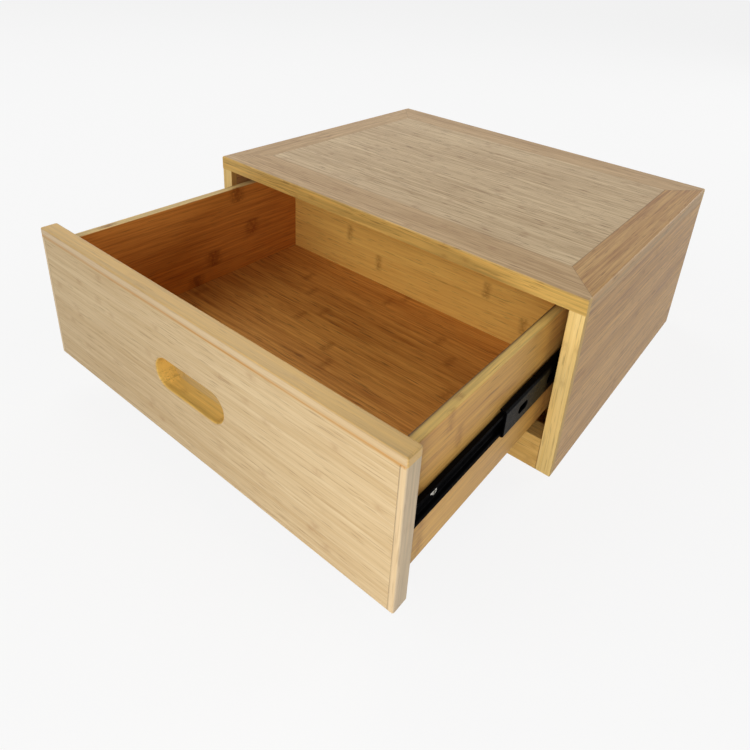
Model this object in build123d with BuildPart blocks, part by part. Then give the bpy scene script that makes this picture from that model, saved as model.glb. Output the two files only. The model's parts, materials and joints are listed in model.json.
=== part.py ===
from build123d import *

import os
from math import radians, sin

# Bamboo drawer box: a cabinet with a framed top and one inset drawer, which runs on two three-section
# ball-bearing slides. Millimetres, +X right, +Y to the back, +Z up. The origin is the middle of the
# cabinet's footprint, on its underside. The drawer stands part open.

# Cabinet boards
cabinet_width = 400
cabinet_height = 167
board = 13
side_lipping = 6.5
rail_height = 31.5
rail_thickness = 18
bottom_thickness = 12
back_thickness = 6
back_rabbet = 6.5
back_clearance = 0.2
edge_easing = 0.8

# Framed top
side_border = 31
end_border = 40
mitre_setback = 6
tongue_length = 5
tongue_thickness = 4
joint_clearance = 0.1

# Drawer
drawer_opened = 189.2
front_thickness = 13.5
front_clearance = 0.8
top_lipping = 6.5
end_lipping = 4.5
front_easing = 1.5
slot_length = 75
slot_height = 25
slot_easing = 1.6
inner_front_thickness = 8
drawer_overrun = 4.5
drawer_side_thickness = 8
drawer_back_thickness = 8
drawer_bottom_thickness = 5
drawer_easing = 0.8
groove_depth = 4
bottom_lip = 4
side_rise = 10.5
side_drop = 11

# Dowels, for the cabinet and for the thinner boards of the drawer
dowel_diameter = 6
dowel_length = 24
dowel_depth = 8
drawer_dowel_diameter = 4
drawer_dowel_length = 16
drawer_dowel_depth = 5
dowel_easing = 0.5
dowel_clearance = 0.05

# Slides: a cabinet, an intermediate and a drawer member on each side, rolled from one sheet
slide_length = 250
slide_height = 30
slide_gap = 9.5
slide_setback = 1.5
slide_rear_room = 42
sheet = 1.0
bend_radius = 1.5
lip_angle = 60
lip_clearance = 0.3
web_space = 1.8
middle_stand_off = 1.2
middle_setback = 9
buffer_length = 8
buffer_height = 16
buffer_clearance = 0.3
buffer_easing = 1.0
oval_length = 14
oval_height = 7

# Balls and their retainer strips
ball_diameter = 2.5
ball_play = 0.06
pocket_clearance = 0.05
retainer_thickness = 0.4
retainer_rim = 0.7
retainer_end = 3
outer_cage_length = 104
outer_cage_setback = 66
outer_ball_count = 11
inner_cage_length = 94
inner_cage_setback = 87.5
inner_ball_count = 10

# Pan-head slide screws and countersunk wood screws, for the back panel and the drawer front
screw_diameter = 3.2
screw_length = 7
screw_head_diameter = 6.4
screw_head_height = 1.4
screw_clearance = 0.1
recess_length = 3.4
recess_width = 0.8
recess_depth = 0.7
wood_screw_diameter = 3
wood_screw_length = 18
wood_screw_head_diameter = 6
wood_screw_head_depth = 1.8
screw_point = 2.5

# Where the fasteners and the ovals lie, as shares of the length that carries them
drawer_screw_shares = (0.105, 0.5, 0.9)
cabinet_screw_shares = (0.11, 0.5, 0.9)
oval_shares = (0.11, 0.305, 0.5, 0.695, 0.89)
rail_dowel_shares = (0.3, 0.7)
bottom_dowel_shares = (0.15, 0.5, 0.85)
top_dowel_shares = (0.12, 0.5, 0.88)
drawer_dowel_shares = (0.25, 0.8)
front_screw_side_share = 0.75
front_screw_height_shares = (0.25, 0.75)
back_side_screw_shares = (0.2, 0.5, 0.8)
back_end_screw_shares = (-0.25, 0.25)
screw_dome_share = 0.72

# How far each moving part goes for each millimetre of the drawer
middle_share = 0.5
outer_cage_share = 0.25
inner_cage_share = 0.75

# Lengths that follow from the slides
drawer_length = slide_setback + slide_length + drawer_overrun
cabinet_depth = front_thickness + slide_setback + slide_length + slide_rear_room + back_thickness

# Cabinet places
half_width = cabinet_width / 2
half_depth = cabinet_depth / 2
opening_half = half_width - board
opening_top = cabinet_height - board
back_inner = half_depth - back_thickness
rail_back = rail_thickness - half_depth
lipping_back = side_lipping - half_depth

# Drawer places at rest
front_face = -half_depth - drawer_opened
front_rear = front_face + front_thickness
inner_front_rear = front_rear + inner_front_thickness
front_half = opening_half - front_clearance
front_low = rail_height + front_clearance
front_high = opening_top - front_clearance
lipping_low = front_high - top_lipping
core_half = front_half - end_lipping
drawer_half = opening_half - slide_gap
inside_half = drawer_half - drawer_side_thickness
side_low = rail_height + side_rise
side_high = opening_top - side_drop
side_height = side_high - side_low
sides_rear = front_rear + drawer_length
inside_back = sides_rear - drawer_back_thickness
panel_low = side_low + bottom_lip
panel_high = panel_low + drawer_bottom_thickness
panel_half = inside_half + groove_depth
panel_front = inner_front_rear - groove_depth
panel_back = inside_back + groove_depth

# Slide section: u runs outwards from the drawer side, w upwards from the slide's middle line
race = ball_diameter / 2 + ball_play
outer_row = slide_height / 2 - sheet - race
middle_half = outer_row - race
inner_row = middle_half - sheet - race
drawer_flange = inner_row - race - sheet / 2
middle_flange = middle_half - sheet / 2
cabinet_flange = slide_height / 2 - sheet / 2
cabinet_web = slide_gap - sheet / 2
middle_web = cabinet_web - sheet - web_space
middle_outside = middle_web + sheet / 2
middle_inside = middle_web - sheet / 2
lip_reach = (race + sheet) * sin(radians(lip_angle))
inner_ball_u = middle_inside - lip_clearance - lip_reach
outer_ball_u = (middle_stand_off + middle_outside) / 2
lip_radius = race + sheet / 2

# Slide places
slide_z = (side_low + side_high) / 2
slide_front = front_thickness + slide_setback - half_depth
slide_rear = slide_front + slide_length
middle_length = slide_length - middle_setback - buffer_length - buffer_clearance
middle_front = slide_front + middle_setback - middle_share * drawer_opened
drawer_member_front = slide_front - drawer_opened
outer_cage_front = slide_front + outer_cage_setback - outer_cage_share * drawer_opened
inner_cage_front = slide_front + inner_cage_setback - inner_cage_share * drawer_opened
member_screw_u = sheet
cabinet_screw_u = slide_gap - sheet

SIDES = {"left": -1, "right": 1}
FROM_BASE = (Align.CENTER, Align.CENTER, Align.MIN)
TO_BASE = (Align.CENTER, Align.CENTER, Align.MAX)

os.makedirs("parts", exist_ok=True)


def keep(piece, name):
    """Labels a finished piece and writes it under its own name."""
    piece.part.label = name
    export_step(piece.part, f"parts/{name}.step")


def middle(low, high):
    """Centre of the box between two corners."""
    return tuple((a + b) / 2 for a, b in zip(low, high))


def extent(low, high):
    """Length, depth and height of the box between two corners."""
    return tuple(b - a for a, b in zip(low, high))


def slide_plane(sign, y):
    """Plane across a slide: its x runs outwards from the drawer side and its y upwards."""
    return Plane(origin=(sign * drawer_half, y, slide_z), x_dir=(sign, 0, 0), z_dir=(0, -sign, 0))


# Places of the fasteners, each a plane whose normal is the way the fastener is driven
back_screw_places = []
for share in back_side_screw_shares:
    for sign in SIDES.values():
        edge = sign * (opening_half + back_rabbet / 2)
        back_screw_places.append(Plane((edge, half_depth, share * cabinet_height), z_dir=(0, -1, 0)))
for share in back_end_screw_shares:
    for height in (bottom_thickness / 2, opening_top + back_rabbet / 2):
        back_screw_places.append(Plane((share * cabinet_width, half_depth, height), z_dir=(0, -1, 0)))

rail_dowel_places = []
bottom_dowel_places = []
top_dowel_places = []
drawer_screw_places = []
cabinet_screw_places = []
front_screw_places = []
front_dowel_places = []
back_dowel_places = []
for sign in SIDES.values():
    outwards = (sign, 0, 0)
    dowel_start = sign * (opening_half + dowel_depth - dowel_length)
    for share in rail_dowel_shares:
        start = (dowel_start, (lipping_back + rail_back) / 2, share * rail_height)
        rail_dowel_places.append(Plane(start, z_dir=outwards))
    for share in bottom_dowel_shares:
        start = (dowel_start, rail_back + share * (back_inner - rail_back), bottom_thickness / 2)
        bottom_dowel_places.append(Plane(start, z_dir=outwards))
    for share in top_dowel_shares:
        start = (sign * (half_width - board / 2), lipping_back + share * (back_inner - lipping_back),
                 opening_top + dowel_depth - dowel_length)
        top_dowel_places.append(Plane(start, z_dir=(0, 0, 1)))
    for share in drawer_screw_shares:
        start = (sign * (drawer_half + member_screw_u), drawer_member_front + share * slide_length, slide_z)
        drawer_screw_places.append(Plane(start, z_dir=(-sign, 0, 0)))
    for share in cabinet_screw_shares:
        start = (sign * (drawer_half + cabinet_screw_u), slide_front + share * slide_length, slide_z)
        cabinet_screw_places.append(Plane(start, z_dir=outwards))
    corner_start = sign * (inside_half + drawer_dowel_depth - drawer_dowel_length)
    for share in drawer_dowel_shares:
        height = panel_high + share * (side_high - panel_high)
        start = (corner_start, front_rear + inner_front_thickness / 2, height)
        front_dowel_places.append(Plane(start, z_dir=outwards))
        start = (corner_start, sides_rear - drawer_back_thickness / 2, height)
        back_dowel_places.append(Plane(start, z_dir=outwards))
    for share in front_screw_height_shares:
        height = panel_high + share * (side_high - panel_high)
        start = (sign * front_screw_side_share * inside_half, inner_front_rear, height)
        front_screw_places.append(Plane(start, z_dir=(0, -1, 0)))

# Corners of the box that the back panel takes out of the boards around it
back_room = (
    (-opening_half - back_rabbet, back_inner, -back_clearance),
    (opening_half + back_rabbet, half_depth + back_clearance, opening_top + back_rabbet),
)

# The framed top seen from the front, with its eased upper arrises
top_section = [
    (-half_width, opening_top),
    (half_width, opening_top),
    (half_width, cabinet_height - edge_easing),
    (half_width - edge_easing, cabinet_height),
    (edge_easing - half_width, cabinet_height),
    (-half_width, cabinet_height - edge_easing),
]

# The same top seen from the right
top_profile = [
    (-half_depth, opening_top),
    (half_depth, opening_top),
    (half_depth, cabinet_height - edge_easing),
    (half_depth - edge_easing, cabinet_height),
    (edge_easing - half_depth, cabinet_height),
    (-half_depth, cabinet_height - edge_easing),
]

# The field of the top and the tongue around it
field_x = half_width - side_border
field_y = half_depth - end_border
tongue_z = opening_top + board / 2
tongue_room = (
    2 * (field_x + tongue_length + joint_clearance),
    2 * (field_y + tongue_length + joint_clearance),
    tongue_thickness + 2 * joint_clearance,
)

with BuildPart() as top_panel:
    with BuildSketch(Plane.XY.offset(opening_top)):
        Rectangle(2 * field_x, 2 * field_y)
    extrude(amount=board)
    with Locations((0, 0, tongue_z)):
        Box(2 * (field_x + tongue_length), 2 * (field_y + tongue_length), tongue_thickness)
keep(top_panel, "top_panel")


def make_border(outline):
    """One mitred strip of the top's frame, from its outline in plan."""
    with BuildPart() as border:
        with BuildSketch(Plane.XY.offset(opening_top)):
            with BuildLine():
                Polyline(*outline, close=True)
            make_face()
        extrude(amount=board)
        with BuildSketch(Plane.XZ.offset(-half_depth)):
            with BuildLine():
                Polyline(*top_section, close=True)
            make_face()
        extrude(amount=cabinet_depth, mode=Mode.INTERSECT)
        with BuildSketch(Plane.YZ.offset(-half_width)):
            with BuildLine():
                Polyline(*top_profile, close=True)
            make_face()
        extrude(amount=cabinet_width, mode=Mode.INTERSECT)
        with Locations((0, 0, tongue_z)):
            Box(*tongue_room, mode=Mode.SUBTRACT)
        with Locations(middle(*back_room)):
            Box(*extent(*back_room), mode=Mode.SUBTRACT)
        with Locations(*top_dowel_places):
            Cylinder(dowel_diameter / 2 + dowel_clearance, dowel_length + dowel_clearance,
                     align=FROM_BASE, mode=Mode.SUBTRACT)
        with Locations(*back_screw_places):
            Cylinder(wood_screw_diameter / 2 + screw_clearance, wood_screw_length + screw_clearance,
                     align=FROM_BASE, mode=Mode.SUBTRACT)
    return border


mitre_end = half_depth - mitre_setback
for name, sign in SIDES.items():
    outline = [
        (sign * half_width, -mitre_end),
        (sign * half_width, mitre_end),
        (sign * field_x, field_y),
        (sign * field_x, -field_y),
    ]
    keep(make_border(outline), f"top_{name}_border")
for name, sign in {"front": -1, "back": 1}.items():
    outline = [
        (-half_width, sign * half_depth),
        (half_width, sign * half_depth),
        (half_width, sign * mitre_end),
        (field_x, sign * field_y),
        (-field_x, sign * field_y),
        (-half_width, sign * mitre_end),
    ]
    keep(make_border(outline), f"top_{name}_border")


def make_side(sign):
    """Cabinet side: rabbeted for the back panel and drilled for what it carries."""
    room = ((opening_half, lipping_back, 0), (half_width, half_depth, opening_top))
    middle_x, middle_y, middle_z = middle(*room)
    with BuildPart() as side:
        with Locations((sign * middle_x, middle_y, middle_z)):
            Box(*extent(*room))
        outer_face = side.faces().sort_by(Axis.X)[-1 if sign > 0 else 0]
        chamfer(outer_face.edges().filter_by(Axis.Z).sort_by(Axis.Y)[-1], length=edge_easing)
        with Locations(middle(*back_room)):
            Box(*extent(*back_room), mode=Mode.SUBTRACT)
        with Locations(*rail_dowel_places, *bottom_dowel_places, *top_dowel_places):
            Cylinder(dowel_diameter / 2 + dowel_clearance, dowel_length + dowel_clearance,
                     align=FROM_BASE, mode=Mode.SUBTRACT)
        with Locations(*cabinet_screw_places):
            Cylinder(screw_diameter / 2 + screw_clearance, screw_length + screw_clearance,
                     align=FROM_BASE, mode=Mode.SUBTRACT)
        with Locations(*back_screw_places):
            Cylinder(wood_screw_diameter / 2 + screw_clearance, wood_screw_length + screw_clearance,
                     align=FROM_BASE, mode=Mode.SUBTRACT)
    return side


def make_side_lipping(sign):
    """Upright strip that covers the front edge of a cabinet side."""
    room = ((opening_half, -half_depth, 0), (half_width, lipping_back, opening_top))
    middle_x, middle_y, middle_z = middle(*room)
    with BuildPart() as lipping:
        with Locations((sign * middle_x, middle_y, middle_z)):
            Box(*extent(*room))
        front_edges = lipping.faces().sort_by(Axis.Y)[0].edges()
        fillet(front_edges.filter_by(Axis.Z), radius=edge_easing)
    return lipping


for name, sign in SIDES.items():
    keep(make_side(sign), f"{name}_side")
    keep(make_side_lipping(sign), f"{name}_side_lipping")

rail_room = ((-opening_half, -half_depth, 0), (opening_half, rail_back, rail_height))
with BuildPart() as front_rail:
    with Locations(middle(*rail_room)):
        Box(*extent(*rail_room))
    top_edges = front_rail.edges().filter_by(Axis.X).group_by(Axis.Z)[-1]
    fillet(top_edges.sort_by(Axis.Y)[0], radius=edge_easing)
    with Locations(*rail_dowel_places):
        Cylinder(dowel_diameter / 2 + dowel_clearance, dowel_length, align=FROM_BASE, mode=Mode.SUBTRACT)
keep(front_rail, "front_rail")

bottom_room = ((-opening_half, rail_back, 0), (opening_half, back_inner, bottom_thickness))
with BuildPart() as bottom_board:
    with Locations(middle(*bottom_room)):
        Box(*extent(*bottom_room))
    with Locations(*bottom_dowel_places):
        Cylinder(dowel_diameter / 2 + dowel_clearance, dowel_length, align=FROM_BASE, mode=Mode.SUBTRACT)
    with Locations(*back_screw_places):
        Cylinder(wood_screw_diameter / 2 + screw_clearance, wood_screw_length + screw_clearance,
                 align=FROM_BASE, mode=Mode.SUBTRACT)
keep(bottom_board, "bottom_board")

back_panel_room = (
    (back_clearance - opening_half - back_rabbet, back_inner, 0),
    (opening_half + back_rabbet - back_clearance, half_depth, opening_top + back_rabbet - back_clearance),
)
with BuildPart() as back_panel:
    with Locations(middle(*back_panel_room)):
        Box(*extent(*back_panel_room))
    with Locations(*back_screw_places):
        Cylinder(wood_screw_diameter / 2 + screw_clearance, wood_screw_length, align=FROM_BASE,
                 mode=Mode.SUBTRACT)
        Cone(wood_screw_head_diameter / 2 + screw_clearance, wood_screw_diameter / 2 + screw_clearance,
             wood_screw_head_depth, align=FROM_BASE, mode=Mode.SUBTRACT)
keep(back_panel, "back_panel")


def make_wood_screws(places):
    """Group of countersunk screws with a cross recess."""
    with BuildPart() as screws:
        with Locations(*places):
            Cone(wood_screw_head_diameter / 2, wood_screw_diameter / 2, wood_screw_head_depth,
                 align=FROM_BASE)
            Cylinder(wood_screw_diameter / 2, wood_screw_length - screw_point, align=FROM_BASE)
            with Locations((0, 0, wood_screw_length - screw_point)):
                Cone(wood_screw_diameter / 2, 0, screw_point, align=FROM_BASE)
            Box(recess_length, recess_width, recess_depth, align=FROM_BASE, mode=Mode.SUBTRACT)
            Box(recess_width, recess_length, recess_depth, align=FROM_BASE, mode=Mode.SUBTRACT)
    return screws


keep(make_wood_screws(back_screw_places), "back_screws")
keep(make_wood_screws(front_screw_places), "front_screws")


def make_dowels(places, diameter, length):
    """Group of fluteless dowels with eased ends."""
    with BuildPart() as dowels:
        with Locations(*places):
            Cylinder(diameter / 2, length, align=FROM_BASE)
        chamfer(dowels.edges().filter_by(GeomType.CIRCLE), length=dowel_easing)
    return dowels


keep(make_dowels(top_dowel_places, dowel_diameter, dowel_length), "top_dowels")
keep(make_dowels(rail_dowel_places, dowel_diameter, dowel_length), "rail_dowels")
keep(make_dowels(bottom_dowel_places, dowel_diameter, dowel_length), "bottom_dowels")
keep(make_dowels(front_dowel_places, drawer_dowel_diameter, drawer_dowel_length), "drawer_front_dowels")
keep(make_dowels(back_dowel_places, drawer_dowel_diameter, drawer_dowel_length), "drawer_back_dowels")

# Groove that takes the drawer's bottom panel, cut from the inner front, the sides and the back alike
groove_room = (
    (-panel_half, panel_front, panel_low - joint_clearance),
    (panel_half, panel_back, panel_high + joint_clearance),
)

# Finger slot, drawn on the rear of the inner front and cut from there through both front boards
with BuildSketch(Plane.XZ.offset(-inner_front_rear)) as finger_slot:
    with Locations((0, (front_low + front_high) / 2)):
        SlotOverall(slot_length, slot_height)
slot_depth = front_thickness + inner_front_thickness


def rim(face):
    """Edges of the opening in a face."""
    return [edge for wire in face.inner_wires() for edge in wire.edges()]


core_room = ((-core_half, front_face, front_low), (core_half, front_rear, lipping_low))
with BuildPart() as drawer_front:
    with Locations(middle(*core_room)):
        Box(*extent(*core_room))
    low_edges = drawer_front.edges().filter_by(Axis.X).group_by(Axis.Z)[0]
    fillet(low_edges, radius=front_easing)
    extrude(finger_slot.sketch, amount=slot_depth, mode=Mode.SUBTRACT)
    fillet(rim(drawer_front.faces().sort_by(Axis.Y)[0]), radius=slot_easing)
    with Locations(*front_screw_places):
        Cylinder(wood_screw_diameter / 2 + screw_clearance, wood_screw_length + screw_clearance,
                 align=FROM_BASE, mode=Mode.SUBTRACT)
keep(drawer_front, "drawer_front")

# Front board of the drawer's own box, behind the shown front, with the same slot through it
inner_front_room = ((-inside_half, front_rear, side_low), (inside_half, inner_front_rear, side_high))
with BuildPart() as inner_front:
    with Locations(middle(*inner_front_room)):
        Box(*extent(*inner_front_room))
    high_edges = inner_front.edges().filter_by(Axis.X).group_by(Axis.Z)[-1]
    fillet(high_edges.sort_by(Axis.Y)[-1], radius=drawer_easing)
    extrude(finger_slot.sketch, amount=slot_depth, mode=Mode.SUBTRACT)
    fillet(rim(inner_front.faces().sort_by(Axis.Y)[-1]), radius=slot_easing)
    with Locations(middle(*groove_room)):
        Box(*extent(*groove_room), mode=Mode.SUBTRACT)
    with Locations(*front_dowel_places):
        Cylinder(drawer_dowel_diameter / 2 + dowel_clearance, drawer_dowel_length, align=FROM_BASE,
                 mode=Mode.SUBTRACT)
    with Locations(*front_screw_places):
        Cylinder(wood_screw_diameter / 2 + screw_clearance, wood_screw_length, align=FROM_BASE,
                 mode=Mode.SUBTRACT)
        Cone(wood_screw_head_diameter / 2 + screw_clearance, wood_screw_diameter / 2 + screw_clearance,
             wood_screw_head_depth, align=FROM_BASE, mode=Mode.SUBTRACT)
keep(inner_front, "drawer_inner_front")

top_lipping_room = ((-front_half, front_face, lipping_low), (front_half, front_rear, front_high))
with BuildPart() as front_top_lipping:
    with Locations(middle(*top_lipping_room)):
        Box(*extent(*top_lipping_room))
    fillet(front_top_lipping.edges().filter_by(Axis.Z), radius=front_easing)
    fillet(front_top_lipping.faces().sort_by(Axis.Z)[-1].edges(), radius=front_easing)
keep(front_top_lipping, "front_top_lipping")


def make_end_lipping(sign):
    """Upright strip that covers one end of the drawer front's core."""
    room = ((core_half, front_face, front_low), (front_half, front_rear, lipping_low))
    middle_x, middle_y, middle_z = middle(*room)
    with BuildPart() as lipping:
        with Locations((sign * middle_x, middle_y, middle_z)):
            Box(*extent(*room))
        outer_face = lipping.faces().sort_by(Axis.X)[-1 if sign > 0 else 0]
        fillet(outer_face.edges().filter_by(Axis.Z), radius=front_easing)
        fillet(lipping.faces().sort_by(Axis.Z)[0].edges().filter_by(Axis.X), radius=front_easing)
    return lipping


def make_drawer_side(sign):
    """Drawer side: grooved for the bottom panel and drilled for dowels and slide screws."""
    room = ((inside_half, front_rear, side_low), (drawer_half, sides_rear, side_high))
    middle_x, middle_y, middle_z = middle(*room)
    with BuildPart() as side:
        with Locations((sign * middle_x, middle_y, middle_z)):
            Box(*extent(*room))
        fillet(side.edges().filter_by(Axis.Y).group_by(Axis.Z)[-1], radius=drawer_easing)
        with Locations(middle(*groove_room)):
            Box(*extent(*groove_room), mode=Mode.SUBTRACT)
        with Locations(*front_dowel_places, *back_dowel_places):
            Cylinder(drawer_dowel_diameter / 2 + dowel_clearance, drawer_dowel_length + dowel_clearance,
                     align=FROM_BASE, mode=Mode.SUBTRACT)
        with Locations(*drawer_screw_places):
            Cylinder(screw_diameter / 2 + screw_clearance, screw_length + screw_clearance,
                     align=FROM_BASE, mode=Mode.SUBTRACT)
    return side


for name, sign in SIDES.items():
    keep(make_end_lipping(sign), f"front_{name}_lipping")
    keep(make_drawer_side(sign), f"drawer_{name}_side")

drawer_back_room = ((-inside_half, inside_back, side_low), (inside_half, sides_rear, side_high))
with BuildPart() as drawer_back_board:
    with Locations(middle(*drawer_back_room)):
        Box(*extent(*drawer_back_room))
    fillet(drawer_back_board.edges().filter_by(Axis.X).group_by(Axis.Z)[-1], radius=drawer_easing)
    with Locations(middle(*groove_room)):
        Box(*extent(*groove_room), mode=Mode.SUBTRACT)
    with Locations(*back_dowel_places):
        Cylinder(drawer_dowel_diameter / 2 + dowel_clearance, drawer_dowel_length, align=FROM_BASE,
                 mode=Mode.SUBTRACT)
keep(drawer_back_board, "drawer_back")

drawer_bottom_room = (
    (joint_clearance - panel_half, panel_front + joint_clearance, panel_low),
    (panel_half - joint_clearance, panel_back - joint_clearance, panel_high),
)
with BuildPart() as drawer_bottom_panel:
    with Locations(middle(*drawer_bottom_room)):
        Box(*extent(*drawer_bottom_room))
keep(drawer_bottom_panel, "drawer_bottom")


def make_member(sign, front, length, web, flange, flange_end, turn, lip):
    """Rolled channel of a slide: its web, a bend to each flange and, where lip is set, a curled edge."""
    with BuildPart() as member:
        with BuildSketch(slide_plane(sign, front)):
            with BuildLine():
                rise = Line((web, 0), (web, flange - bend_radius))
                bend = JernArc(rise @ 1, rise % 1, bend_radius, -90 * turn)
                run = Line(bend @ 1, (flange_end, flange))
                if lip:
                    JernArc(run @ 1, run % 1, lip_radius, lip)
                mirror(about=Plane.XZ)
            trace(line_width=sheet)
        extrude(amount=length, dir=(0, 1, 0))
    return member


def drill(member, places):
    """The member with clear holes for the slide screws."""
    with BuildPart() as drilled:
        add(member.part)
        with Locations(*places):
            Cylinder(screw_diameter / 2 + screw_clearance, 2 * sheet + screw_clearance, mode=Mode.SUBTRACT)
    return drilled


def pierce(member, sign):
    """The intermediate member with its row of oval openings."""
    oval_plane = Plane(origin=(sign * (drawer_half + middle_web), middle_front, slide_z),
                       x_dir=(0, 1, 0), z_dir=(1, 0, 0))
    with BuildPart() as pierced:
        add(member.part)
        with BuildSketch(oval_plane):
            with Locations(*[(share * middle_length, 0) for share in oval_shares]):
                SlotOverall(oval_length, oval_height)
        extrude(amount=sheet, both=True, mode=Mode.SUBTRACT)
    return pierced


def ball_places(sign, u, row, front, length, count):
    """Centres of the balls in the two rows of one cage."""
    pitch = (length - 2 * (retainer_end + ball_diameter / 2)) / (count - 1)
    first = front + retainer_end + ball_diameter / 2
    return [(sign * (drawer_half + u), first + step * pitch, slide_z + side * row)
            for side in (-1, 1) for step in range(count)]


def make_retainers(sign, u, row, front, length, balls):
    """Pair of punched strips that keep the balls of the upper and the lower row apart."""
    width = ball_diameter + 2 * retainer_rim
    with BuildPart() as retainers:
        with Locations(*[(sign * (drawer_half + u), front + length / 2, slide_z + side * row)
                         for side in (-1, 1)]):
            Box(width, length, retainer_thickness)
        with Locations(*balls):
            Cylinder(ball_diameter / 2 + pocket_clearance, 2 * retainer_thickness, mode=Mode.SUBTRACT)
    return retainers


def make_balls(balls):
    """Group of bearing balls."""
    with BuildPart() as group:
        with Locations(*balls):
            Sphere(ball_diameter / 2)
    return group


def make_buffer(sign):
    """Block at the rear of the cabinet member, where the intermediate member comes to rest."""
    depth = cabinet_web - sheet / 2 - middle_inside
    place = (sign * (drawer_half + middle_inside + depth / 2), slide_rear - buffer_length / 2, slide_z)
    with BuildPart() as buffer:
        with Locations(place):
            Box(depth, buffer_length, buffer_height)
        fillet(buffer.edges().filter_by(Axis.X), radius=buffer_easing)
    return buffer


for name, sign in SIDES.items():
    cabinet_member = make_member(sign, slide_front, slide_length, cabinet_web, cabinet_flange,
                                 outer_ball_u, -1, lip_angle)
    keep(drill(cabinet_member, cabinet_screw_places), f"{name}_cabinet_member")
    middle_member = make_member(sign, middle_front, middle_length, middle_web, middle_flange,
                                middle_stand_off, -1, 0)
    keep(pierce(middle_member, sign), f"{name}_intermediate_member")
    drawer_member = make_member(sign, drawer_member_front, slide_length, sheet / 2, drawer_flange,
                                inner_ball_u, 1, lip_angle)
    keep(drill(drawer_member, drawer_screw_places), f"{name}_drawer_member")
    keep(make_buffer(sign), f"{name}_rear_buffer")

    outer_balls = ball_places(sign, outer_ball_u, outer_row, outer_cage_front, outer_cage_length,
                              outer_ball_count)
    outer_retainers = make_retainers(sign, outer_ball_u, outer_row, outer_cage_front, outer_cage_length,
                                     outer_balls)
    keep(outer_retainers, f"{name}_outer_retainers")
    keep(make_balls(outer_balls), f"{name}_outer_balls")

    inner_balls = ball_places(sign, inner_ball_u, inner_row, inner_cage_front, inner_cage_length,
                              inner_ball_count)
    inner_retainers = make_retainers(sign, inner_ball_u, inner_row, inner_cage_front, inner_cage_length,
                                     inner_balls)
    keep(inner_retainers, f"{name}_inner_retainers")
    keep(make_balls(inner_balls), f"{name}_inner_balls")


def make_slide_screws(places):
    """Group of pan-head screws with a cross recess."""
    dome = screw_head_height / 2
    dome_radius = screw_dome_share * screw_head_diameter / 2
    with BuildPart() as screws:
        with Locations(*places):
            Cylinder(screw_head_diameter / 2, screw_head_height - dome, align=TO_BASE)
            Cylinder(screw_diameter / 2, screw_length - screw_point, align=FROM_BASE)
            with Locations((0, 0, screw_length - screw_point)):
                Cone(screw_diameter / 2, 0, screw_point, align=FROM_BASE)
            with Locations((0, 0, dome - screw_head_height)):
                Cone(dome_radius, screw_head_diameter / 2, dome, align=TO_BASE)
            with Locations((0, 0, -screw_head_height)):
                Box(recess_length, recess_width, recess_depth, align=FROM_BASE, mode=Mode.SUBTRACT)
                Box(recess_width, recess_length, recess_depth, align=FROM_BASE, mode=Mode.SUBTRACT)
    return screws


keep(make_slide_screws(cabinet_screw_places), "cabinet_slide_screws")
keep(make_slide_screws(drawer_screw_places), "drawer_slide_screws")
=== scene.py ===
import json
from dataclasses import dataclass
from math import cos, pi, radians, sin

import bpy
from mathutils import Color, Matrix, Vector


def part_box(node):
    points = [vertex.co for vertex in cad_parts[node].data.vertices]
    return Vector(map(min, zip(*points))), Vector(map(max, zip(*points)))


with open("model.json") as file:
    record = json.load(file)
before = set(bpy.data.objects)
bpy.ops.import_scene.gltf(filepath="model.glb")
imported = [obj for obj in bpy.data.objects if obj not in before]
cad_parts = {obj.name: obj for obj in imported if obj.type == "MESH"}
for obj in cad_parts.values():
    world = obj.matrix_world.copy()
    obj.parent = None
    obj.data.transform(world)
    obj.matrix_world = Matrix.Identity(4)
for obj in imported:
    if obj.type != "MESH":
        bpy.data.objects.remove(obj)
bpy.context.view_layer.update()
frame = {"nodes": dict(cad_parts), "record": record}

# Looks of a bamboo drawer box: laminated bamboo boards, black ball slides and nickel screws.
# Metres, in the part's own frame: +X right, +Y to the back, +Z up.

# Camera, in a square picture
PICTURE_PIXELS = 750
FOCAL_PIXELS = 635.7
CENTRE_PIXEL = (415, 230)
CAMERA_PLACE = (0.3162, -0.5449, 0.3915)
CAMERA_AZIMUTH = radians(34.74)
CAMERA_ELEVATION = radians(25.22)
CAMERA_ROLL = radians(5.0)
SENSOR_WIDTH = 36

# Lamps: place, size and level, which is how bright a white face turned to the lamp becomes at AIM
AIM = (0, -0.15, 0.08)
LAMPS = {
    "key_lamp": ((-1.3, -2.4, 1.95), 2.2, 0.32),
    "fill_lamp": ((0.8, -2.1, 0.9), 1.3, 0.27),
    "low_lamp": ((0.35, -0.7, 0.085), 0.13, 0.225),
    "top_lamp": ((-1.1, 0.45, 1.75), 1.3, 0.24),
    "back_lamp": ((1.1, 1.9, 1.1), 1.3, 0.33),
}
AMBIENT_LEVEL = 0.15

# Floor and background. Where the camera sees them they glow, so that they are pale without more light.
BACKGROUND_LEVEL = 0.895
FLOOR_SIZE = 14
FLOOR_DROP = 0.0003
FLOOR_TONE = 0.55
FLOOR_SEEN_TONE = 0.1
FLOOR_GLOW = 0.865

# Lines drawn on the boards: strengths, widths and tones
FULL, CLEAR, SOFT, FAINT = 1.0, 0.7, 0.4, 0.2
SEAM_WIDTH = 0.0005
SEAM_TONE = (78, 48, 22)
ARRIS_WIDTH = 0.004
ARRIS_TONE = (174, 124, 63)
# Dark line along the inner arris of the right drawer side's top edge: painted shade of the rounded edge
# turned away from the light
INNER_ARRIS_SHADE_WIDTH = 0.003
INNER_ARRIS_SHADE_TONE = (66, 30, 6)
LIPPING_LINE_WIDTH = 0.002
LIPPING_LINE_TONE = (188, 136, 64)

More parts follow.
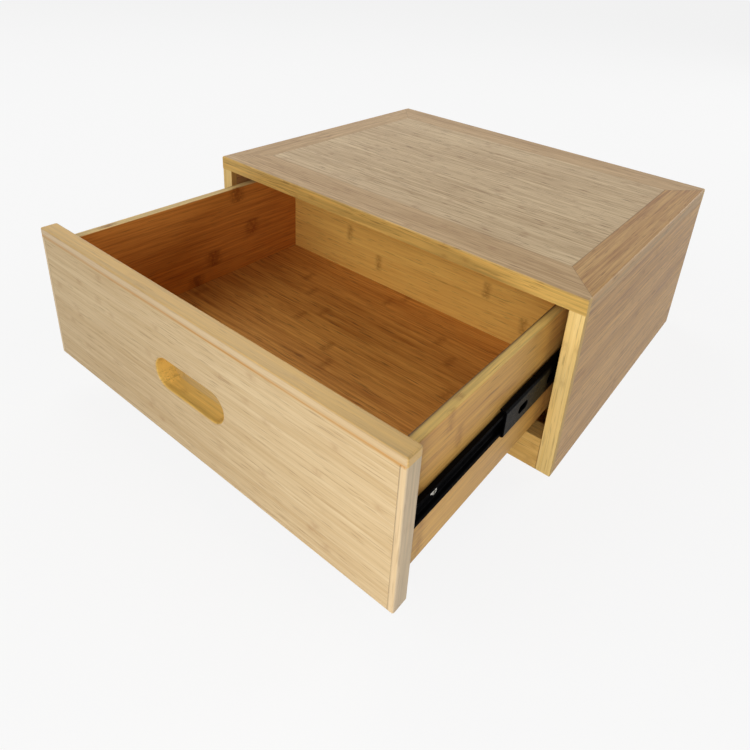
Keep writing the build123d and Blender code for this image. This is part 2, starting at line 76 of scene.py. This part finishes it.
# Bamboo detail, shared by all boards. A fade names the values where a mark is absent and where it is full.
PLY = 0.0045
STRIP_OFFSET = 0.37
SHIFT_RANGE = 9.0
FIBRE_LENGTH = 0.07
FIBRE_WIDTH = 0.0022
FIBRE_DETAIL = 3.0
FIBRE_ROUGHNESS = 0.6
FIBRE_GAIN = 3.4
DASH_LENGTH = 0.019
DASH_WIDTH = 0.0011
DASH_DETAIL = 1.0
DASH_FADE = (0.6, 0.74)
DASH_TONE = (112, 74, 38)
CLOUD_LENGTH = 0.18
CLOUD_WIDTH = 0.06
CLOUD_GAIN = 0.6
BASE_VALUE = 0.55
KNUCKLE_PITCH = 0.17
KNUCKLE_WAVE = 0.003
KNUCKLE_SHARE = 0.85
KNUCKLE_EDGE_FADE = (0.0, 0.15)
KNUCKLE_DENT = 0.5
KNUCKLE_TONE = (130, 68, 20)
WAVE_SIZE = 0.009
WAVE_DETAIL = 1.0
BLOT_SIZE = 0.003
BLOT_FADE = (0.15, 0.6)
GLUE_WIDTH = 0.0004
GLUE_STRENGTH = 0.18
EDGE_FADE = (0.97, 0.6)
EDGE_SHADE = 0.78
END_FADE = (0.85, 0.97)
END_SHADE = 0.92
PORE_SIZE = 0.0009
PORE_FADE = (0.58, 0.95)
PORE_TONE = (96, 60, 28)
LINE_FADE = (0.2, 0.6)
BUMP_STRENGTH = 0.35
BUMP_DEPTH = 0.0002
ROUGHNESS_SWING = 0.3

# Fine mottle of metal, plastic and dowels
MOTTLE_DETAIL = 3.0
MOTTLE_ROUGHNESS = 0.6
MOTTLE_SHADE = 0.85
MOTTLE_BUMP = 0.2
MOTTLE_DEPTH_SHARE = 0.25
MOTTLE_GLOSS_SWING = 0.2

# Shader nodes: the middle of a noise, and the sockets of a Mix node that mixes colours
NOISE_MIDDLE = 0.5
MIX_FACTOR, MIX_FIRST, MIX_SECOND, MIX_RESULT = 0, 6, 7, 2


@dataclass
class Bamboo:
    """How one kind of laminated bamboo looks. Tones are sRGB out of 255, widths are in metres."""
    pale: tuple
    dark: tuple
    edge: tuple        # tone of the board's narrow sides
    strip: float       # width of one strip
    spread: float      # how far the strips differ in tone
    streak: float      # strength of the fibres
    dash: float        # strength of the short dark dashes
    knuckle: float     # strength of the knuckles
    specular: float
    roughness: float = 0.45
    knuckle_width: float = 0.0065


@dataclass
class Stripe:
    """A straight mark along a plane, given by its normal and offset, on the board's face or its edges."""
    way: tuple
    offset: float
    strength: float
    width: float = SEAM_WIDTH
    tint: tuple = SEAM_TONE
    on_edge: bool = False


GOLD = (236, 192, 104)
FACE = Bamboo(pale=(213, 189, 148), dark=(187, 156, 111), edge=(252, 204, 104), strip=0.0056,
              spread=0.3, streak=0.5, dash=0.35, knuckle=0.2, specular=0.1)
END = Bamboo(pale=(222, 198, 158), dark=(202, 172, 128), edge=(226, 202, 166), strip=0.0045,
             spread=0.25, streak=0.4, dash=0.2, knuckle=0.1, specular=0.2)
TRIM = Bamboo(pale=(210, 185, 144), dark=(192, 158, 108), edge=(234, 190, 112), strip=0.0042,
              spread=0.2, streak=0.35, dash=0.2, knuckle=0.1, specular=0.5, roughness=0.4)
FIELD = Bamboo(pale=(224, 199, 159), dark=(177, 145, 104), edge=GOLD, strip=0.0060,
               spread=0.3, streak=0.75, dash=0.75, knuckle=0.25, specular=0.25)
RIM = Bamboo(pale=(211, 179, 136), dark=(171, 135, 91), edge=GOLD, strip=0.0070,
             spread=0.35, streak=0.8, dash=0.5, knuckle=0.2, specular=0.25)
BORDER = Bamboo(pale=(206, 166, 112), dark=(156, 110, 66), edge=(216, 174, 116), strip=0.0075,
                spread=0.4, streak=0.75, dash=0.5, knuckle=0.2, specular=0.25)
SIDE = Bamboo(pale=(229, 185, 121), dark=(166, 118, 70), edge=(206, 164, 108), strip=0.0058,
              spread=0.35, streak=0.62, dash=0.55, knuckle=0.25, specular=0.2)
RAIL = Bamboo(pale=(232, 190, 112), dark=(209, 161, 83), edge=(234, 192, 112), strip=0.0050,
              spread=0.25, streak=0.4, dash=0.3, knuckle=0.2, specular=0.15)
LIPPING = Bamboo(pale=(252, 221, 149), dark=(229, 190, 111), edge=(234, 192, 112), strip=0.0050,
                 spread=0.25, streak=0.4, dash=0.3, knuckle=0.2, specular=0.15)
INNER = Bamboo(pale=(234, 186, 102), dark=(196, 138, 66), edge=(246, 204, 116), strip=0.0205,
               spread=0.3, streak=0.6, dash=0.35, knuckle=0.35, specular=0.25)
# Paler, yellower copy of the drawer-board bamboo for the drawer back: painted light of its brightly lit
# inner face
LIT_INNER = Bamboo(pale=(253, 215, 118), dark=(226, 176, 88), edge=(240, 196, 104), strip=0.0205,
               spread=0.3, streak=0.5, dash=0.35, knuckle=0.45, specular=0.15)
# Darker, redder copy of the drawer-side bamboo for the left drawer side: painted shade and bounce colour
# of its shaded inner face. Its paler, greyer edge tone is partly painted sheen.
SHADED_INNER = Bamboo(pale=(222, 148, 66), dark=(174, 101, 39), edge=(240, 204, 132), strip=0.0205,
              spread=0.4, streak=0.7, dash=0.4, knuckle=0.75, specular=0.3, knuckle_width=0.013)
FLOOR = Bamboo(pale=(231, 168, 82), dark=(176, 108, 44), edge=(234, 184, 98), strip=0.0190,
               spread=0.3, streak=0.65, dash=0.6, knuckle=0.4, specular=0.1)


def tone(red, green, blue):
    """Linear colour of an sRGB tone out of 255."""
    colour = Color((red / 255, green / 255, blue / 255))
    return (*colour.from_srgb_to_scene_linear(), 1.0)


def shade(colour, share):
    """The same tone, darkened to a share of its value."""
    return tuple(share * value for value in colour)


class Graph:
    """A material's node tree and short ways to add to it."""

    def __init__(self, name):
        self.material = bpy.data.materials.new(name)
        self.material.use_nodes = True
        self.tree = self.material.node_tree
        self.tree.nodes.clear()

    def node(self, kind, inputs=None, **settings):
        made = self.tree.nodes.new(kind)
        for key, value in settings.items():
            setattr(made, key, value)
        for key, value in (inputs or {}).items():
            self.feed(made.inputs[key], value)
        return made

    def feed(self, socket, value):
        """Links a socket to another one, or sets it to a constant."""
        if isinstance(value, bpy.types.NodeSocket):
            self.tree.links.new(value, socket)
        else:
            socket.default_value = value

    def math(self, operation, *values):
        inputs = dict(enumerate(values))
        return self.node("ShaderNodeMath", inputs, operation=operation).outputs["Value"]

    def mix(self, factor, first, second):
        inputs = {MIX_FACTOR: factor, MIX_FIRST: first, MIX_SECOND: second}
        return self.node("ShaderNodeMix", inputs, data_type="RGBA").outputs[MIX_RESULT]

    def vector(self, x, y, z):
        return self.node("ShaderNodeCombineXYZ", {"X": x, "Y": y, "Z": z}).outputs["Vector"]

    def parts(self, vector):
        return self.node("ShaderNodeSeparateXYZ", {"Vector": vector}).outputs

    def scaled(self, vector, size):
        inputs = {"Vector": vector, "Scale": 1 / size}
        return self.node("ShaderNodeVectorMath", inputs, operation="SCALE").outputs["Vector"]

    def noise(self, vector, detail=2.0, roughness=0.5):
        inputs = {"Vector": vector, "Scale": 1.0, "Detail": detail, "Roughness": roughness}
        return self.node("ShaderNodeTexNoise", inputs).outputs[0]

    def fade(self, value, start, end):
        """Goes smoothly from 0 where value is at start to 1 where it is at end."""
        inputs = {"Value": value, "From Min": start, "From Max": end}
        return self.node("ShaderNodeMapRange", inputs, interpolation_type="SMOOTHSTEP").outputs["Result"]

    def swing(self, value, strength):
        """Turns a value between 0 and 1 into a push to either side of zero."""
        return self.math("MULTIPLY", self.math("SUBTRACT", value, NOISE_MIDDLE), strength)

    def surface(self, **inputs):
        named = {key.replace("_", " "): value for key, value in inputs.items()}
        shader = self.node("ShaderNodeBsdfPrincipled", named)
        self.node("ShaderNodeOutputMaterial", {"Surface": shader.outputs["BSDF"]})
        return self.material


def bamboo(name, look, grain, across, stripes):
    """Laminated bamboo with strips laid side by side across the board and fibres along the grain."""
    graph = Graph(f"bamboo_{name}")
    low, high = (Vector(corner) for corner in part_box(name))
    centre = dict(zip("XYZ", (low + high) / 2))
    layer = ({"X", "Y", "Z"} - {grain, across}).pop()
    spot = graph.node("ShaderNodeTexCoord").outputs["Object"]
    places = dict(zip("XYZ", graph.parts(spot)))
    along, side, deep = places[grain], places[across], places[layer]
    seed = sorted(frame["nodes"]).index(name)

    # Which strip and which layer a point lies in, and that strip's own dice
    strip_at = graph.math("DIVIDE", graph.math("SUBTRACT", side, centre[across]), look.strip)
    strip_at = graph.math("ADD", strip_at, STRIP_OFFSET)
    strip_in = graph.math("FRACT", strip_at)
    edge = graph.math("MINIMUM", strip_in, graph.math("SUBTRACT", 1.0, strip_in))
    ply_at = graph.math("DIVIDE", graph.math("SUBTRACT", deep, centre[layer]), PLY)
    cell = graph.vector(graph.math("FLOOR", strip_at), graph.math("ROUND", ply_at), seed)
    dice = graph.node("ShaderNodeTexWhiteNoise", {"Vector": cell}, noise_dimensions="3D")
    shift_dice, knuckle_dice, tone_dice = graph.parts(dice.outputs["Color"])
    shift = graph.math("MULTIPLY", shift_dice, SHIFT_RANGE)

    def stretched(length, width, moved=0.0, **detail):
        """Noise drawn out along the grain."""
        return graph.noise(graph.vector(
            graph.math("MULTIPLY_ADD", along, 1 / length, moved),
            graph.math("DIVIDE", side, width),
            graph.math("DIVIDE", deep, width)), **detail)

    fibres = stretched(FIBRE_LENGTH, FIBRE_WIDTH, shift, detail=FIBRE_DETAIL, roughness=FIBRE_ROUGHNESS)
    dashes = stretched(DASH_LENGTH, DASH_WIDTH, shift, detail=DASH_DETAIL)
    clouds = stretched(CLOUD_LENGTH, CLOUD_WIDTH)
    dash = graph.math("MULTIPLY", graph.fade(dashes, *DASH_FADE), look.dash)

    # Knuckles: a soft, wavy and blotted dark patch across the middle of a strip
    waves = graph.noise(graph.scaled(spot, WAVE_SIZE), WAVE_DETAIL)
    blots = graph.noise(graph.scaled(spot, BLOT_SIZE))
    knuckle_at = graph.math("FRACT", graph.math("MULTIPLY_ADD", along, 1 / KNUCKLE_PITCH, shift))
    off = graph.math("ADD", graph.swing(knuckle_at, KNUCKLE_PITCH), graph.swing(waves, KNUCKLE_WAVE))
    off = graph.math("ABSOLUTE", off)
    mark = graph.math("MULTIPLY", graph.fade(off, look.knuckle_width, 0.0), graph.fade(blots, *BLOT_FADE))
    mark = graph.math("MULTIPLY", mark, graph.fade(edge, *KNUCKLE_EDGE_FADE))
    shown = graph.math("MULTIPLY", graph.math("LESS_THAN", knuckle_dice, KNUCKLE_SHARE), look.knuckle)
    mark = graph.math("MULTIPLY", mark, shown)

    # Tone of each point between the dark and the pale one, golden where the board's edge shows
    normal = graph.parts(graph.node("ShaderNodeNewGeometry").outputs["True Normal"])
    facing = {axis: graph.math("ABSOLUTE", part) for axis, part in zip("XYZ", normal)}
    rim = graph.fade(facing[layer], *EDGE_FADE)
    pale = graph.mix(rim, tone(*look.pale), tone(*look.edge))
    dark = graph.mix(rim, tone(*look.dark), tone(*shade(look.edge, EDGE_SHADE)))
    streaks = graph.swing(fibres, FIBRE_GAIN * look.streak)
    value = graph.math("ADD", graph.swing(tone_dice, look.spread), streaks)
    value = graph.math("ADD", value, graph.swing(clouds, CLOUD_GAIN))
    value = graph.math("ADD", value, BASE_VALUE)
    value = graph.math("MINIMUM", graph.math("MAXIMUM", value, 0.0), 1.0)
    colour = graph.mix(value, dark, pale)
    colour = graph.mix(dash, colour, tone(*DASH_TONE))
    colour = graph.mix(mark, colour, tone(*KNUCKLE_TONE))

    # Thin glue line between strips
    glue = graph.math("MULTIPLY", graph.fade(edge, GLUE_WIDTH / look.strip, 0.0), GLUE_STRENGTH)
    colour = graph.mix(glue, colour, tone(*SEAM_TONE))

    # End grain where the grain runs out of the surface
    pores = graph.fade(graph.noise(graph.scaled(spot, PORE_SIZE)), *PORE_FADE)
    end_colour = graph.mix(pores, tone(*shade(look.edge, END_SHADE)), tone(*PORE_TONE))
    colour = graph.mix(graph.fade(facing[grain], *END_FADE), colour, end_colour)

    # Stripes on the board's broad face, broken along the fibres, or unbroken on its edges
    broken = graph.fade(fibres, *LINE_FADE)
    for stripe in stripes:
        reach = graph.node("ShaderNodeVectorMath", {0: spot, 1: stripe.way}, operation="DOT_PRODUCT")
        away = graph.math("ABSOLUTE", graph.math("SUBTRACT", reach.outputs["Value"], stripe.offset))
        factor = graph.math("MULTIPLY", graph.fade(away, stripe.width, 0.0), stripe.strength)
        place = rim if stripe.on_edge else graph.math("MULTIPLY", broken, graph.fade(rim, 1.0, 0.0))
        factor = graph.math("MULTIPLY", factor, place)
        colour = graph.mix(factor, colour, tone(*stripe.tint))

    # Surface: fibres stand proud of the knuckles and the glue lines, and vary in gloss
    height = graph.math("SUBTRACT", fibres, graph.math("MULTIPLY", mark, KNUCKLE_DENT))
    height = graph.math("SUBTRACT", height, glue)
    relief = {"Height": height, "Strength": BUMP_STRENGTH, "Distance": BUMP_DEPTH}
    bump = graph.node("ShaderNodeBump", relief)
    roughness = graph.math("ADD", graph.swing(fibres, ROUGHNESS_SWING), look.roughness)
    return graph.surface(Base_Color=colour, Roughness=roughness,
                         Specular_IOR_Level=look.specular, Normal=bump.outputs["Normal"])


def speckled(name, base, metallic, roughness, grain_size, specular=0.5):
    """Even metal or plastic with a fine mottle in its tone, gloss and surface."""
    graph = Graph(name)
    spot = graph.node("ShaderNodeTexCoord").outputs["Object"]
    mottle = graph.noise(graph.scaled(spot, grain_size), MOTTLE_DETAIL, MOTTLE_ROUGHNESS)
    relief = {"Height": mottle, "Strength": MOTTLE_BUMP, "Distance": MOTTLE_DEPTH_SHARE * grain_size}
    bump = graph.node("ShaderNodeBump", relief)
    colour = graph.mix(mottle, tone(*shade(base, MOTTLE_SHADE)), tone(*base))
    gloss = graph.math("ADD", graph.swing(mottle, MOTTLE_GLOSS_SWING), roughness)
    return graph.surface(Base_Color=colour, Metallic=metallic, Roughness=gloss,
                         Specular_IOR_Level=specular, Normal=bump.outputs["Normal"])


def dress(name, material):
    """Gives all of a CAD node one material."""
    for slot in frame["nodes"][name].material_slots:
        slot.material = material


# Places of the glue lines, from the boxes of the boards that meet there
X, Y, Z = (1, 0, 0), (0, 1, 0), (0, 0, 1)
(field_x, _, _), (_, mitre_y, _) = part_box("top_right_border")
(_, field_y, _), (half_width, _, _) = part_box("top_back_border")
_, (_, lipping_y, _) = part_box("left_side_lipping")
_, (opening_x, _, _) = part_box("front_rail")
_, (_, _, opening_z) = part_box("left_side")
_, (front_x, _, front_z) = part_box("drawer_front")
(drawer_x, _, _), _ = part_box("drawer_right_side")


def mitre(x_sign, y_sign):
    """Glue line along one mitre of the top's frame."""
    run = Vector((half_width - field_x, mitre_y - field_y))
    normal = Vector((x_sign * run.y, -y_sign * run.x, 0)).normalized()
    return Stripe(tuple(normal), normal.dot(Vector((x_sign * field_x, y_sign * field_y, 0))), SOFT)


field_ends = [Stripe(Y, sign * field_y, FAINT) for sign in (-1, 1)]
field_left = Stripe(X, -field_x, FAINT)
field_right = Stripe(X, field_x, CLEAR)
rail_ends = [Stripe(X, sign * opening_x, CLEAR) for sign in (-1, 1)]
core_ends = [Stripe(X, sign * front_x, CLEAR) for sign in (-1, 1)]
under_top = Stripe(Z, opening_z, FAINT)
behind_lipping = Stripe(Y, lipping_y, SOFT)
# Painted shade: a dark line along the inner arris of the right drawer side's top edge
inner_arris_shade = Stripe(X, drawer_x, FULL, INNER_ARRIS_SHADE_WIDTH, INNER_ARRIS_SHADE_TONE, on_edge=True)
under_lipping = Stripe(Z, front_z, FULL, LIPPING_LINE_WIDTH, LIPPING_LINE_TONE)

# Each board's look, the axis of its grain, the axis across its strips, and its stripes
boards = {
    "top_panel": (FIELD, "X", "Y", field_ends + [field_left, field_right]),
    "front_rail": (RAIL, "X", "Z", rail_ends),
    "bottom_board": (INNER, "X", "Y", []),
    "back_panel": (INNER, "X", "Z", []),
    "drawer_front": (FACE, "X", "Z", core_ends + [under_lipping]),
    "front_top_lipping": (TRIM, "X", "Z", [under_lipping]),
    "drawer_inner_front": (INNER, "X", "Z", []),
    # Painted shade: the left drawer side's look is a darker, redder copy of the right side's bamboo
    "drawer_left_side": (SHADED_INNER, "Y", "Z", []),
    # The right drawer side carries a painted shade line along its inner arris
    "drawer_right_side": (INNER, "Y", "Z", [inner_arris_shade]),
    # Painted light: the drawer back's look is a paler copy of the drawer sides' bamboo
    "drawer_back": (LIT_INNER, "X", "Z", []),
    "drawer_bottom": (FLOOR, "X", "Y", []),
}
sides = (("left", -1, RIM, field_left), ("right", 1, BORDER, field_right))
for side_name, sign, border, field_seam in sides:
    arris = Stripe(X, sign * half_width, CLEAR, ARRIS_WIDTH, ARRIS_TONE)
    core_end = Stripe(X, sign * front_x, CLEAR)
    border_stripes = [field_seam, mitre(sign, -1), mitre(sign, 1), under_top, arris]
    boards[f"top_{side_name}_border"] = (border, "Y", "X", border_stripes)
    boards[f"{side_name}_side"] = (SIDE, "Y", "Z", [behind_lipping, under_top])
    boards[f"{side_name}_side_lipping"] = (LIPPING, "Z", "X", [behind_lipping, under_top])
    boards[f"front_{side_name}_lipping"] = (END, "Z", "X", [under_lipping, core_end])
for end_name, sign, field_seam in zip(("front", "back"), (-1, 1), field_ends):
    border_stripes = [field_seam, mitre(-1, sign), mitre(1, sign), under_top]
    boards[f"top_{end_name}_border"] = (RIM, "X", "Y", border_stripes)
for board, (look, grain, across, stripes) in boards.items():
    dress(board, bamboo(board, look, grain, across, stripes))

# Finishes of the slides and fasteners, by material slot
finishes = {
    "slide_steel": speckled("black_slide", (8, 8, 9), metallic=0.0, roughness=0.3,
                            grain_size=0.004, specular=0.02),
    "bearing_ball": speckled("bearing_ball", (205, 206, 208), metallic=1.0, roughness=0.12,
                             grain_size=0.001),
    "ball_retainer": speckled("ball_retainer", (178, 180, 182), metallic=1.0, roughness=0.3,
                              grain_size=0.002),
    "screw": speckled("nickel_screw", (212, 208, 198), metallic=1.0, roughness=0.22, grain_size=0.001),
    "buffer": speckled("buffer_plastic", (30, 30, 31), metallic=0.0, roughness=0.5, grain_size=0.001),
    "dowel": speckled("dowel_wood", (196, 164, 118), metallic=0.0, roughness=0.6, grain_size=0.002),
}
for subpart in frame["record"]["subparts"]:
    if subpart["material_slot"] in finishes:
        dress(subpart["node"], finishes[subpart["material_slot"]])


def lamp(name, place, size, level):
    """Square soft lamp turned to AIM, where a white face turned to it becomes as bright as level."""
    light = bpy.data.lights.new(name, "AREA")
    light.shape = "SQUARE"
    light.size = size
    way = Vector(place) - Vector(AIM)
    light.energy = level * (pi * way.length) ** 2
    made = bpy.data.objects.new(name, light)
    made.location = place
    made.rotation_euler = way.to_track_quat("Z", "Y").to_euler()
    made.visible_camera = False
    bpy.context.scene.collection.objects.link(made)


for lamp_name, (place, size, level) in LAMPS.items():
    lamp(lamp_name, place, size, level)


def seen_directly(tree):
    """Socket that is 1 for what the camera sees itself, or in gloss or through glass."""
    path = tree.nodes.new("ShaderNodeLightPath").outputs
    result = path["Is Camera Ray"]
    for ray in ("Is Glossy Ray", "Is Transmission Ray"):
        either = tree.nodes.new("ShaderNodeMath")
        either.operation = "MAXIMUM"
        tree.links.new(result, either.inputs[0])
        tree.links.new(path[ray], either.inputs[1])
        result = either.outputs["Value"]
    return result


# World: a dim even light, and a pale background where it is seen
world = bpy.data.worlds.new("studio")
world.use_nodes = True
bpy.context.scene.world = world
world_tree = world.node_tree
sky = world_tree.nodes["Background"]
sky.inputs["Color"].default_value = (1.0, 1.0, 1.0, 1.0)
strength = world_tree.nodes.new("ShaderNodeMapRange")
strength.inputs["To Min"].default_value = AMBIENT_LEVEL
strength.inputs["To Max"].default_value = BACKGROUND_LEVEL
world_tree.links.new(seen_directly(world_tree), strength.inputs["Value"])
world_tree.links.new(strength.outputs["Result"], sky.inputs["Strength"])

# Floor
floor_graph = Graph("pale_floor")
seen = seen_directly(floor_graph.tree)
floor_tones = [(value, value, value, 1.0) for value in (FLOOR_TONE, FLOOR_SEEN_TONE)]
matt = floor_graph.node("ShaderNodeBsdfDiffuse", {"Color": floor_graph.mix(seen, *floor_tones)})
glow = floor_graph.node("ShaderNodeEmission", {"Strength": floor_graph.math("MULTIPLY", seen, FLOOR_GLOW)})
both = floor_graph.node("ShaderNodeAddShader", {0: matt.outputs["BSDF"], 1: glow.outputs["Emission"]})
floor_graph.node("ShaderNodeOutputMaterial", {"Surface": both.outputs["Shader"]})
floor_mesh = bpy.data.meshes.new("floor")
half_floor = FLOOR_SIZE / 2
signs = ((-1, -1), (1, -1), (1, 1), (-1, 1))
corners = [(half_floor * x, half_floor * y, -FLOOR_DROP) for x, y in signs]
floor_mesh.from_pydata(corners, [], [(0, 1, 2, 3)])
floor_mesh.materials.append(floor_graph.material)
floor = bpy.data.objects.new("floor", floor_mesh)
bpy.context.scene.collection.objects.link(floor)

# Camera, with its shift from the picture's centre
camera = bpy.data.cameras.new("camera")
camera.sensor_width = SENSOR_WIDTH
camera.lens = SENSOR_WIDTH * FOCAL_PIXELS / PICTURE_PIXELS
centre_column, centre_row = CENTRE_PIXEL
camera.shift_x = (PICTURE_PIXELS / 2 - centre_column) / PICTURE_PIXELS
camera.shift_y = (centre_row - PICTURE_PIXELS / 2) / PICTURE_PIXELS
back = Vector((sin(CAMERA_AZIMUTH) * cos(CAMERA_ELEVATION),
               -cos(CAMERA_AZIMUTH) * cos(CAMERA_ELEVATION),
               sin(CAMERA_ELEVATION)))
level_right = Vector(Z).cross(back).normalized()
level_up = back.cross(level_right)
right = cos(CAMERA_ROLL) * level_right + sin(CAMERA_ROLL) * level_up
up = cos(CAMERA_ROLL) * level_up - sin(CAMERA_ROLL) * level_right
stand = bpy.data.objects.new("camera", camera)
stand.matrix_world = Matrix.Translation(CAMERA_PLACE) @ Matrix((right, up, back)).transposed().to_4x4()
bpy.context.scene.collection.objects.link(stand)
bpy.context.scene.camera = stand
bpy.context.scene.view_settings.view_transform = "Standard"
